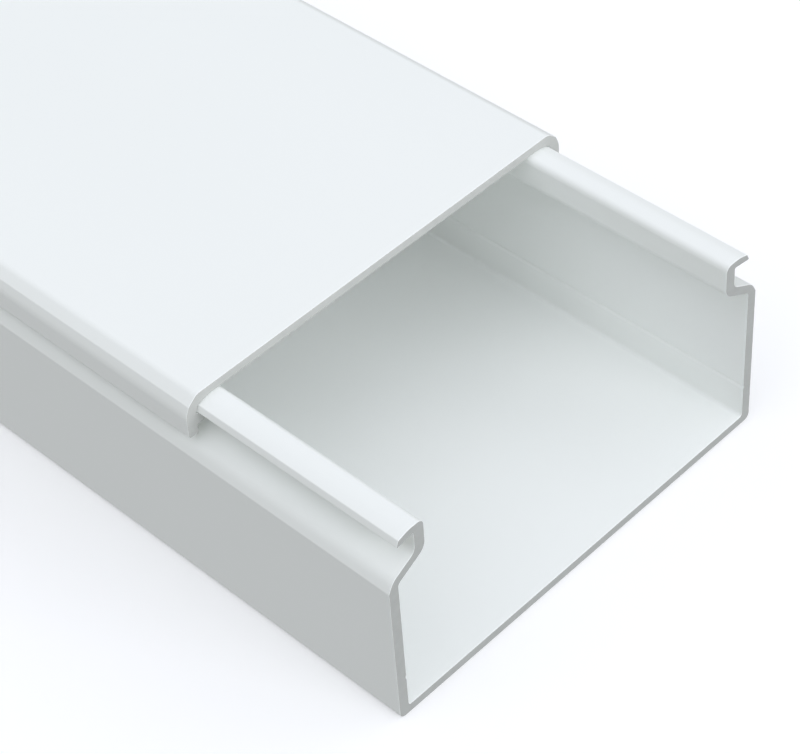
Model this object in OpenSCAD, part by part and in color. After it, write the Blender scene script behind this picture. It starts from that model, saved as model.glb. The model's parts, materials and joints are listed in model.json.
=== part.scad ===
// Two-piece plastic cable trunking: a channel with a rolled clip rim along each wall, which is
// fixed by its back, and a lid whose hooked legs snap under the lips of that rim.
// Both are extruded stock, so each piece is one closed section drawn along the length.
// X runs across the width, Y along the length and Z out from the back. The origin is the
// middle of the back face.

/* [Stock] */
// Length that the base and the lid are each cut to
stock_l = 2000; // [500:50:3000]
// How far the lid is drawn back along the base from lying flush
lid_setback = 49.2; // [0:0.1:300]

/* [Base] */
// Width over the side walls
base_w = 100; // [70:1:160]
// Height from the back face to the top of the lips
rim_h = 46.1; // [36:0.1:90]
// Thickness of the floor
floor_t = 2; // [1.4:0.1:3.2]
// Thickness of the side walls
wall_t = 2.3; // [1.4:0.1:2.6]
// Radius on the outer edges of the back
foot_r = 1.5; // [0.4:0.1:2]
// Radius in the corners between floor and walls
floor_r = 0.7; // [0.2:0.1:1.5]
// Height of the fine groove along the inside of each wall, from the back face to its middle
groove_h = 10; // [6:0.1:16]
// Width of the groove
groove_w = 1.3; // [0.6:0.1:2]
// Depth of the groove
groove_d = 0.2; // [0.1:0.05:0.4]

/* [Clip rim] */
// Slope of the shoulder between wall and neck, in degrees
shoulder_angle = 29; // [20:1:35]
// Thickness of the shoulder
shoulder_t = 1.9; // [1.4:0.1:2.4]
// Width of the steeper fall from the shoulder to the outside of the wall
fall_w = 1.1; // [0.8:0.1:1.6]
// Height of that fall
fall_h = 2.3; // [1.8:0.1:3]
// Radius on the outside where the shoulder bends into the fall
fall_r = 4; // [0.5:0.1:4.4]
// Radius inside where the wall turns into the shoulder
bend_r = 1.2; // [0.3:0.1:2]
// Thickness of the upright neck
neck_t = 2.45; // [1.6:0.05:3.2]
// Radius where the inside of the shoulder turns up into the neck
neck_r = 3; // [1:0.1:4]
// Radius where the outside of the shoulder turns up into the neck
crook_r = 2; // [0.3:0.1:2.6]
// Radius on the inner top edge of the neck
rim_r = 1.4; // [0.3:0.1:2]
// Reach of the lip outwards from the neck
lip_reach = 4.1; // [3.6:0.1:5]
// Thickness of the lip at the neck
lip_t = 1.6; // [1.5:0.05:2.6]
// Width of the flat part of the lip's top, outside the neck
lip_flat = 1.3; // [0.6:0.1:1.8]
// Radius where the lip's top bends from there down to the nose
lip_r = 6; // [1:0.5:8]
// How far the lip's underside droops towards its edge
lip_droop = 0.6; // [0.2:0.05:0.8]
// Width of the sloping nose along the lip's edge, over which the lid snaps
nose_w = 0.5; // [0.4:0.05:0.9]
// Height of the upright edge below the nose
nose_land = 0.25; // [0.25:0.05:0.5]
// How far the lip's top falls from its flat part out to the nose
nose_fall = 0.75; // [0.3:0.05:1]
// Radius on the top of the nose
nose_r = 0.3; // [0.2:0.1:0.8]

/* [Lid] */
// Thickness of the lid's flat top
lid_t = 1.9; // [1.2:0.1:2.8]
// Thickness of the lid's legs beside the lips
leg_t = 2.5; // [2:0.1:4]
// Width of the bevel along the lid's outer edges
bevel_w = 2.2; // [1.6:0.1:3]
// Height of that bevel
bevel_h = 1.8; // [0.8:0.1:2.4]
// Radius where the flat top rolls into that bevel
crown_r = 2.2; // [0.6:0.1:3.6]
// How far the skirt leans in where it meets the bevel
lean_w = 0.9; // [0.6:0.1:1.4]
// Height over which the skirt leans in
lean_h = 2; // [1.6:0.1:3]
// Radius where the leaning part turns into the upright skirt
lean_r = 4.5; // [1:0.5:9]
// Height of the hook under the lip
hook_h = 2.5; // [1.8:0.1:4]
// Depth of the leg below the hook
tail_h = 2; // [1:0.1:4]
// Thickness of the leg below the hook
tail_t = 2.3; // [1.4:0.1:2.6]

/* [Fits] */
// Sliding gap between the lid and the lips, all round
lid_fit = 0.2; // [0.15:0.05:0.5]
// Room between the hook and the neck, for the leg to spring open
hook_gap = 1.6; // [0.6:0.1:2]
// Height of the leg's lower edge above the shoulder
tail_gap = 2; // [0.5:0.1:3]

/* [Hidden] */

// Most degrees that one facet of a rounded corner may turn
arc_step = 9;
// Radius that takes the sharpness off the small edges
edge_r = 0.3;

// Radius on the inside of the lid's leg, beside the lip's edge
leg_r = 0.45;

// Half widths, from the outside in
half_w = base_w / 2;
wall_x = half_w - wall_t;
tail_x = half_w - tail_t;
leg_x = half_w - leg_t;
lip_x = leg_x - lid_fit;
neck_x = lip_x - lip_reach;
mouth_x = neck_x - neck_t;
hook_x = neck_x + hook_gap;
nose_x = lip_x - nose_w;
flat_x = neck_x + lip_flat;
fall_x = half_w - fall_w;

// Heights of the rim and the lid, from the lip down to the shoulder
lip_slope = lip_droop / lip_reach;
lip_under_h = rim_h - lip_t;
lip_edge_h = lip_under_h - lip_droop;
nose_low_h = lip_edge_h + nose_land;
nose_top_h = rim_h - nose_fall;
hook_low_h = lip_edge_h - lid_fit - hook_h;
tail_low_h = hook_low_h - tail_h;
lid_under_h = rim_h + lid_fit;
lid_top_h = lid_under_h + lid_t;

// The lid's inside follows the lip at the sliding gap: height above the lip's falling top at a distance x
// from the middle, and distance from the middle outside the nose at a height z
top_fall = nose_fall / (nose_x - flat_x);
nose_run = nose_w / (nose_top_h - nose_low_h);
function hug_top(x) = rim_h - (x - flat_x) * top_fall + lid_fit * norm([1, top_fall]);
function hug_nose(z) = lip_x - (z - nose_low_h) * nose_run + lid_fit * norm([1, nose_run]);
// Where that inside leaves the flat underside, turns down past the nose and reaches the upright leg
hug_flat_x = flat_x + lid_fit * (norm([1, top_fall]) - 1) / top_fall;
hug_nose_h = hug_top(hug_nose(0)) / (1 - top_fall * nose_run);
hug_low_h = nose_low_h - (leg_x - hug_nose(nose_low_h)) / nose_run;

// Height of the hook's top, which follows the droop of the lip above it, at a distance x from the middle
function hook_top(x) = lip_edge_h - lid_fit + (lip_x - x) * lip_slope;

// Height of the shoulder's outside and of its underside, at a distance x from the middle
function shoulder_top(x) = tail_low_h - tail_gap + (tail_x - x) * tan(shoulder_angle);
function shoulder_under(x) = shoulder_top(x) - shoulder_t / cos(shoulder_angle);

function unit(v) = v / norm(v);
function place(p) = [p[0], p[1]];

// Points of the corner at b, between its neighbours a and c, rounded to the radius that b carries
function rounded_corner(a, b, c) =
    let (
        u = unit(place(a) - place(b)),
        v = unit(place(c) - place(b)),
        half = acos(u * v) / 2,
        centre = place(b) + unit(u + v) * b[2] / sin(half),
        start = place(b) + u * b[2] / tan(half) - centre,
        bend = 180 - 2 * half,
        sweep = u[0] * v[1] - u[1] * v[0] > 0 ? -bend : bend,
        steps = ceil(bend / arc_step),
        from = atan2(start[1], start[0])
    )
    b[2] == 0
        ? [place(b)]
        : [for (i = [0:steps]) centre + b[2] * [cos(from + sweep * i / steps), sin(from + sweep * i / steps)]];

// A closed outline from corners given as [x, height, radius]
function rounded_outline(corners) =
    let (n = len(corners))
    [for (i = [0:n - 1]) each rounded_corner(corners[(i + n - 1) % n], corners[i], corners[(i + 1) % n])];

// The corners of the right half, followed by the same corners mirrored to the left
function both_sides(right) =
    concat(right, [for (i = [len(right) - 1:-1:0]) [-right[i][0], right[i][1], right[i][2]]]);

// Right half of the base's section, from the floor up inside the wall, round the lip and down outside
function base_corners() = [
    [wall_x, floor_t, floor_r],
    [wall_x, groove_h - groove_w / 2, 0],
    [wall_x + groove_d, groove_h, 0],
    [wall_x, groove_h + groove_w / 2, 0],
    [wall_x, shoulder_under(wall_x), bend_r],
    [mouth_x, shoulder_under(mouth_x), neck_r],
    [mouth_x, rim_h, rim_r],
    [flat_x, rim_h, lip_r],
    [nose_x, nose_top_h, nose_r],
    [lip_x, nose_low_h, edge_r],
    [lip_x, lip_edge_h, edge_r / 2],
    [neck_x, lip_under_h, edge_r],
    [neck_x, shoulder_top(neck_x), crook_r],
    [fall_x, shoulder_top(fall_x), fall_r],
    [half_w, shoulder_top(fall_x) - fall_h, edge_r],
    [half_w, 0, foot_r]
];

// Right half of the lid's section, from the underside down inside the leg, round the hook and up outside
function lid_corners() = [
    [hug_flat_x, lid_under_h, lip_r + lid_fit],
    [hug_nose(hug_nose_h), hug_nose_h, nose_r + lid_fit],
    [leg_x, hug_low_h, leg_r],
    [leg_x, hook_top(leg_x), edge_r / 2],
    [hook_x, hook_top(hook_x), edge_r],
    [hook_x, hook_low_h + hook_h / 2, edge_r],
    [(hook_x + tail_x) / 2, hook_low_h, edge_r],
    [tail_x, hook_low_h, edge_r],
    [tail_x, tail_low_h, edge_r],
    [half_w, tail_low_h, edge_r * 2],
    [half_w, lid_top_h - bevel_h - lean_h, lean_r],
    [half_w - lean_w, lid_top_h - bevel_h, edge_r],
    [half_w - lean_w - bevel_w, lid_top_h, crown_r]
];

// A section stood on end and drawn along Y, starting at the base's near end
module extruded_stock(corners) {
    translate([0, stock_l / 2, 0])
        rotate([90, 0, 0])
            linear_extrude(stock_l)
                polygon(rounded_outline(both_sides(corners)));
}

module base() {
    color("whitesmoke") extruded_stock(base_corners());
}

module lid() {
    color("white") translate([0, lid_setback, 0]) extruded_stock(lid_corners());
}

base();
lid();
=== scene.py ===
"""Dresses a two-metre length of white plastic cable trunking, with its lid drawn back from the near end."""

import json
import math

import bpy
from mathutils import Matrix, Vector

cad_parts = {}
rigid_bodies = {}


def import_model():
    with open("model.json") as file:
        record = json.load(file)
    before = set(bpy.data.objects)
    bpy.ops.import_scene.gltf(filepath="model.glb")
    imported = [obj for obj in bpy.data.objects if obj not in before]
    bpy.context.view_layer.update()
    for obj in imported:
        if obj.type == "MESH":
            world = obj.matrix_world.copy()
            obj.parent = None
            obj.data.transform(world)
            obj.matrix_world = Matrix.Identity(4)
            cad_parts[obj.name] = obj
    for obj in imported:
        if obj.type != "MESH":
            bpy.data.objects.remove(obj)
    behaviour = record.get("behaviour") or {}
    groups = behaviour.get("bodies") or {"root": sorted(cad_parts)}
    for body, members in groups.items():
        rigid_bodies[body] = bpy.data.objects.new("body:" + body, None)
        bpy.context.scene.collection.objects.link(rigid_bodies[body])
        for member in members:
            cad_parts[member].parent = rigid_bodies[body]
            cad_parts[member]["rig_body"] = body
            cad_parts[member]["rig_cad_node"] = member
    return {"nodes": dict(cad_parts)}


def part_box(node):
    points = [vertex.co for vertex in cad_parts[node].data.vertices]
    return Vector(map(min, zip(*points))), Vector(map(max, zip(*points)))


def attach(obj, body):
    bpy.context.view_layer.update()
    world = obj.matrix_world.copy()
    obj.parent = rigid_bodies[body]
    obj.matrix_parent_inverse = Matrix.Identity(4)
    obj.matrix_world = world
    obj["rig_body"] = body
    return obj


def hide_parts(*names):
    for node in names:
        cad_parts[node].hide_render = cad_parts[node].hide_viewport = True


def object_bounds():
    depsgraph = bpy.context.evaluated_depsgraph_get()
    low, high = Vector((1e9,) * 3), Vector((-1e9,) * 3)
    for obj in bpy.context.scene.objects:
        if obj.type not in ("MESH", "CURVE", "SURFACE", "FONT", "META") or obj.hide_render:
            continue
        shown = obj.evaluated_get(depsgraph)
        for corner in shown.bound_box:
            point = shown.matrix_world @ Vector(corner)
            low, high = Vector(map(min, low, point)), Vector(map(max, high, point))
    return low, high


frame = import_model()
cad_low, cad_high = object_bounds()

MM = 0.001
NEAR_END_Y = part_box("base")[0].y

# View of the photograph, in pixels of its 800 x 754 frame and in metres from the near end of the back face
PHOTO_WIDTH_PX = 800
FOCAL_LENGTH_PX = 2488.5
VIEW_AZIMUTH = math.radians(-42.882)
VIEW_ELEVATION = math.radians(44.485)
VIEW_ROLL = math.radians(-4.692)
VIEW_AIM = Vector((-0.00429, NEAR_END_Y + 0.04207, 0.025))
VIEW_DISTANCE = 0.47278
VIEW_STARTS_AT = 0.01
SENSOR_WIDTH_MM = 36

# How near two points are to be welded, and how little two faces lean apart to be made one
WELD = 0.001 * MM
FLAT_ANGLE = math.radians(0.2)

# The broken edge round a saw cut
CUT_EDGE = 0.12 * MM
CUT_EDGE_STEPS = 2

# Neighbouring facets of a bend are shaded as one round up to this angle
SMOOTH_ANGLE = math.radians(14)

# A face belongs to the saw cut while it leans less than this from the plane of the cut
SAW_CUT_LEAN = math.radians(45)

# Colours of the plastic, as linear values
SKIN_PALE = (0.911, 0.937, 0.918, 1)
SKIN_DEEP = (0.898, 0.925, 0.906, 1)
# The base's sawn ends are coloured far darker than the skin: painted shade for the little light that reaches
# them from the front
BASE_SAWN_PAINTED_SHADE_PALE = (0.359, 0.373, 0.362, 1)
BASE_SAWN_PAINTED_SHADE_DEEP = (0.334, 0.346, 0.336, 1)
# The lid's sawn ends are painted shade too, but lighter than the base's: painted light for the light
# bouncing up onto them
LID_SAWN_PAINTED_SHADE_PALE = (0.45, 0.463, 0.448, 1)
LID_SAWN_PAINTED_SHADE_DEEP = (0.423, 0.437, 0.423, 1)

# Noise patterns, each with its waves to the metre, its detail and its scale along X, Y and Z
DIE_LINES = (700, 3, (1, 0.002, 1))
CLOUD = (14, 3, (1, 0.35, 1))
GRAIN = (3500, 2, (1, 1, 1))
SAW_STROKES = (1300, 3, (0.06, 1, 1))
SAW_DUST = (420, 3, (1, 1, 1))

# The stretch of a pattern's values over which a colour or a roughness changes
NOISE_LOW = 0.3
NOISE_HIGH = 0.7

# Finish of the extruded skin
DIE_LINE_DEPTH = 0.004 * MM
GRAIN_DEPTH = 0.004 * MM
SKIN_ROUGHNESS = (0.42, 0.52)
SKIN_SPECULAR = 0.45

# Finish of the sawn ends
SAW_STROKE_DEPTH = 0.03 * MM
SAWN_ROUGHNESS = (0.6, 0.78)
SAWN_SPECULAR = 0.35

# White paper with a faint glow of its own
FLOOR_COLOUR = (0.99, 0.99, 0.99, 1)
FLOOR_ROUGHNESS = 0.9
FLOOR_SPECULAR = 0.1
FLOOR_GLOW = 0.07
FLOOR_SIZE = 40

# Glow of the light tent by the height of the direction, from straight below, 0, to straight above, 1
TENT_BELOW = (0.415, 0.419, 0.44, 1)
TENT_SIDES = (0.12, 0.13, 0.03, 1)
TENT_ABOVE = (0.628, 0.646, 0.696, 1)
TENT = [
    (0, TENT_BELOW),
    (0.495, TENT_BELOW),
    (0.505, TENT_SIDES),
    (0.62, TENT_SIDES),
    (0.68, TENT_ABOVE),
    (1, TENT_ABOVE),
]

# Soft lights of a cool white, each with its azimuth, elevation and spread in degrees and its strength
LAMP_COLOUR = (0.965, 0.965, 1)
LAMP_HEIGHT = 3
SOFT_LIGHTS = {
    "front_light": (0, 15, 50, 2.302),
    "corner_light": (60, 40, 50, 0.342),
    "side_light": (-90, 62, 50, 0.428),
}


def select_only(*objects):
    """Leaves just these objects selected, the first one active."""
    bpy.ops.object.select_all(action="DESELECT")
    for thing in objects:
        thing.select_set(True)
    bpy.context.view_layer.objects.active = objects[0]


def extrusion_from(node, name):
    """A piece with the section of a CAD node, welded into one skin and freed of the triangles' diagonals."""
    select_only(frame["nodes"][node])
    bpy.ops.object.duplicate(linked=False)
    piece = bpy.context.active_object
    piece.name = piece.data.name = name
    piece.parent = None
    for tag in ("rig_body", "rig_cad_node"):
        del piece[tag]
    bpy.ops.object.mode_set(mode="EDIT")
    bpy.ops.mesh.select_all(action="SELECT")
    bpy.ops.mesh.remove_doubles(threshold=WELD)
    bpy.ops.mesh.dissolve_limited(angle_limit=FLAT_ANGLE)
    bpy.ops.object.mode_set(mode="OBJECT")
    bpy.ops.mesh.customdata_custom_splitnormals_clear()
    return piece


def break_cut_edges(piece):
    """Takes the sharpness off the edges round both sawn ends, and shades the bends as rounds."""
    ends = [min(v.co.y for v in piece.data.vertices), max(v.co.y for v in piece.data.vertices)]
    select_only(piece)
    bpy.ops.object.mode_set(mode="EDIT")
    bpy.ops.mesh.select_mode(type="EDGE")
    bpy.ops.mesh.select_all(action="DESELECT")
    bpy.ops.object.mode_set(mode="OBJECT")
    for edge in piece.data.edges:
        places = [piece.data.vertices[i].co.y for i in edge.vertices]
        edge.select = any(all(abs(y - end) < WELD for y in places) for end in ends)
    bpy.ops.object.mode_set(mode="EDIT")
    bpy.ops.mesh.bevel(offset=CUT_EDGE, offset_type="OFFSET", segments=CUT_EDGE_STEPS, clamp_overlap=False)
    bpy.ops.object.mode_set(mode="OBJECT")
    bpy.ops.object.shade_smooth_by_angle(angle=SMOOTH_ANGLE)
    bpy.ops.object.modifier_add(type="WEIGHTED_NORMAL")
    piece.modifiers[0].keep_sharp = True
    bpy.ops.object.modifier_apply(modifier=piece.modifiers[0].name)


def finish_surfaces(piece, skin, sawn):
    """Gives the cut ends, with half of each broken edge, the sawn finish with its painted shade, and all
    else the skin's.
    """
    piece.data.materials.clear()
    piece.data.materials.append(skin)
    piece.data.materials.append(sawn)
    for face in piece.data.polygons:
        face.material_index = 1 if abs(face.normal.y) > math.cos(SAW_CUT_LEAN) else 0


def new_material(name):
    """A new material and its shader."""
    material = bpy.data.materials.new(name)
    material.use_nodes = True
    return material, material.node_tree.nodes["Principled BSDF"]


def noise(tree, pattern):
    """The values of a noise pattern on the piece's own coordinates."""
    waves, detail, scale = pattern
    place = tree.nodes.new("ShaderNodeTexCoord")
    mapping = tree.nodes.new("ShaderNodeMapping")
    mapping.inputs["Scale"].default_value = scale
    texture = tree.nodes.new("ShaderNodeTexNoise")
    texture.inputs["Scale"].default_value = waves
    texture.inputs["Detail"].default_value = detail
    tree.links.new(place.outputs["Object"], mapping.inputs["Vector"])
    tree.links.new(mapping.outputs["Vector"], texture.inputs["Vector"])
    return texture.outputs["Fac"]


def tint(tree, value, deep, pale):
    """Colours a noise value from deep to pale."""
    band = tree.nodes.new("ShaderNodeValToRGB")
    band.color_ramp.elements[0].position = NOISE_LOW
    band.color_ramp.elements[0].color = deep
    band.color_ramp.elements[1].position = NOISE_HIGH
    band.color_ramp.elements[1].color = pale
    tree.links.new(value, band.inputs["Fac"])
    return band.outputs["Color"]


def between(tree, value, limits):
    """Brings a noise value between two limits."""
    spread = tree.nodes.new("ShaderNodeMapRange")
    spread.inputs["From Min"].default_value = NOISE_LOW
    spread.inputs["From Max"].default_value = NOISE_HIGH
    spread.inputs["To Min"].default_value = limits[0]
    spread.inputs["To Max"].default_value = limits[1]
    tree.links.new(value, spread.inputs["Value"])
    return spread.outputs["Result"]


def bump(tree, height, depth, under=None):
    """Relief of a depth in metres, on top of another relief where there is one."""
    relief = tree.nodes.new("ShaderNodeBump")
    relief.inputs["Strength"].default_value = 1
    relief.inputs["Distance"].default_value = depth
    tree.links.new(height, relief.inputs["Height"])
    if under is not None:
        tree.links.new(under, relief.inputs["Normal"])
    return relief.outputs["Normal"]


def extruded_skin(name):
    """Satin plastic as it leaves the die: faint lines along it, a slow cloudiness and a fine grain."""
    material, shader = new_material(name)
    tree = material.node_tree
    die_lines = noise(tree, DIE_LINES)
    cloud = noise(tree, CLOUD)
    grain = noise(tree, GRAIN)
    tree.links.new(tint(tree, cloud, SKIN_DEEP, SKIN_PALE), shader.inputs["Base Color"])
    tree.links.new(between(tree, die_lines, SKIN_ROUGHNESS), shader.inputs["Roughness"])
    relief = bump(tree, die_lines, DIE_LINE_DEPTH)
    relief = bump(tree, grain, GRAIN_DEPTH, relief)
    tree.links.new(relief, shader.inputs["Normal"])
    shader.inputs["Specular IOR Level"].default_value = SKIN_SPECULAR
    return material


def sawn_end(name, deep, pale):
    """The same plastic where a saw went through it: matte, with fine strokes across the wall, coloured
    darker than the skin by the painted shade it is given.
    """
    material, shader = new_material(name)
    tree = material.node_tree
    strokes = noise(tree, SAW_STROKES)
    dust = noise(tree, SAW_DUST)
    tree.links.new(tint(tree, dust, deep, pale), shader.inputs["Base Color"])
    tree.links.new(between(tree, strokes, SAWN_ROUGHNESS), shader.inputs["Roughness"])
    tree.links.new(bump(tree, strokes, SAW_STROKE_DEPTH), shader.inputs["Normal"])
    shader.inputs["Specular IOR Level"].default_value = SAWN_SPECULAR
    return material


def lay_floor():
    """A plain pale floor under the back face, which takes the shadows and throws no light on the object."""
    bpy.ops.object.select_all(action="DESELECT")
    bpy.ops.mesh.primitive_plane_add(size=FLOOR_SIZE, location=(0, 0, cad_low.z))
    floor = bpy.context.active_object
    floor.name = "floor"
    material, shader = new_material("floor_paper")
    shader.inputs["Base Color"].default_value = FLOOR_COLOUR
    shader.inputs["Roughness"].default_value = FLOOR_ROUGHNESS
    shader.inputs["Specular IOR Level"].default_value = FLOOR_SPECULAR
    shader.inputs["Emission Strength"].default_value = FLOOR_GLOW
    floor.data.materials.append(material)
    floor.visible_diffuse = False
    floor.visible_glossy = False
    floor.visible_shadow = False


def towards(azimuth, elevation):
    """The direction out to an azimuth, from the front round towards +X, and an elevation."""
    reach = math.cos(elevation)
    return Vector((math.sin(azimuth) * reach, -math.cos(azimuth) * reach, math.sin(elevation)))


def soft_light(name, azimuth, elevation, spread, strength):
    """A distant soft light, so that the whole length is lit alike."""
    bpy.ops.object.light_add(type="SUN", location=(0, 0, LAMP_HEIGHT))
    lamp = bpy.context.active_object
    lamp.name = name
    lamp.data.energy = strength
    lamp.data.color = LAMP_COLOUR
    lamp.data.angle = math.radians(spread)
    source = towards(math.radians(azimuth), math.radians(elevation))
    lamp.rotation_euler = (-source).to_track_quat("-Z", "Y").to_euler()


def light_tent():
    """A white tent round the object: the most glow from above, less from below and little from the sides."""
    world = bpy.data.worlds.new("light_tent")
    world.use_nodes = True
    tree = world.node_tree
    glow = tree.nodes["Background"]
    direction = tree.nodes.new("ShaderNodeTexCoord").outputs["Generated"]
    split = tree.nodes.new("ShaderNodeSeparateXYZ")
    height = tree.nodes.new("ShaderNodeMapRange")
    height.inputs["From Min"].default_value = -1
    height.inputs["From Max"].default_value = 1
    tent = tree.nodes.new("ShaderNodeValToRGB")
    steps = tent.color_ramp.elements
    steps[0].position = TENT[0][0]
    steps[0].color = TENT[0][1]
    steps[1].position = TENT[-1][0]
    steps[1].color = TENT[-1][1]
    for place, colour in TENT[1:-1]:
        steps.new(place).color = colour
    tree.links.new(direction, split.inputs["Vector"])
    tree.links.new(split.outputs["Z"], height.inputs["Value"])
    tree.links.new(height.outputs["Result"], tent.inputs["Fac"])
    tree.links.new(tent.outputs["Color"], glow.inputs["Color"])
    bpy.context.scene.world = world
    bpy.context.scene.view_settings.view_transform = "Standard"


def place_camera():
    """The camera where the photograph was taken."""
    back = towards(VIEW_AZIMUTH, VIEW_ELEVATION)
    level = Vector((math.cos(VIEW_AZIMUTH), math.sin(VIEW_AZIMUTH), 0))
    upright = back.cross(level)
    right = level * math.cos(VIEW_ROLL) + upright * math.sin(VIEW_ROLL)
    up = upright * math.cos(VIEW_ROLL) - level * math.sin(VIEW_ROLL)
    turn = Matrix((right, up, back)).transposed()
    bpy.ops.object.camera_add(location=VIEW_AIM + back * VIEW_DISTANCE, rotation=turn.to_euler())
    camera = bpy.context.active_object
    camera.data.sensor_width = SENSOR_WIDTH_MM
    camera.data.lens = SENSOR_WIDTH_MM * FOCAL_LENGTH_PX / PHOTO_WIDTH_PX
    camera.data.clip_start = VIEW_STARTS_AT
    bpy.context.scene.camera = camera


def dress(node, name, skin, sawn):
    """Makes the piece that stands for a CAD node and lets it ride on that node's body."""
    piece = extrusion_from(node, name)
    break_cut_edges(piece)
    finish_surfaces(piece, skin, sawn)
    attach(piece, node)
    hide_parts(node)


# Sawn ends in painted shade, the lid's lighter than the base's
base_sawn_painted_shade = sawn_end("base_sawn_end_painted_shade", BASE_SAWN_PAINTED_SHADE_DEEP, BASE_SAWN_PAINTED_SHADE_PALE)
lid_sawn_painted_shade = sawn_end("lid_sawn_end_painted_shade", LID_SAWN_PAINTED_SHADE_DEEP, LID_SAWN_PAINTED_SHADE_PALE)
dress("base", "base_channel", extruded_skin("base_skin"), base_sawn_painted_shade)
dress("lid", "clip_lid", extruded_skin("lid_skin"), lid_sawn_painted_shade)
lay_floor()
light_tent()
for name, light in SOFT_LIGHTS.items():
    soft_light(name, *light)
place_camera()
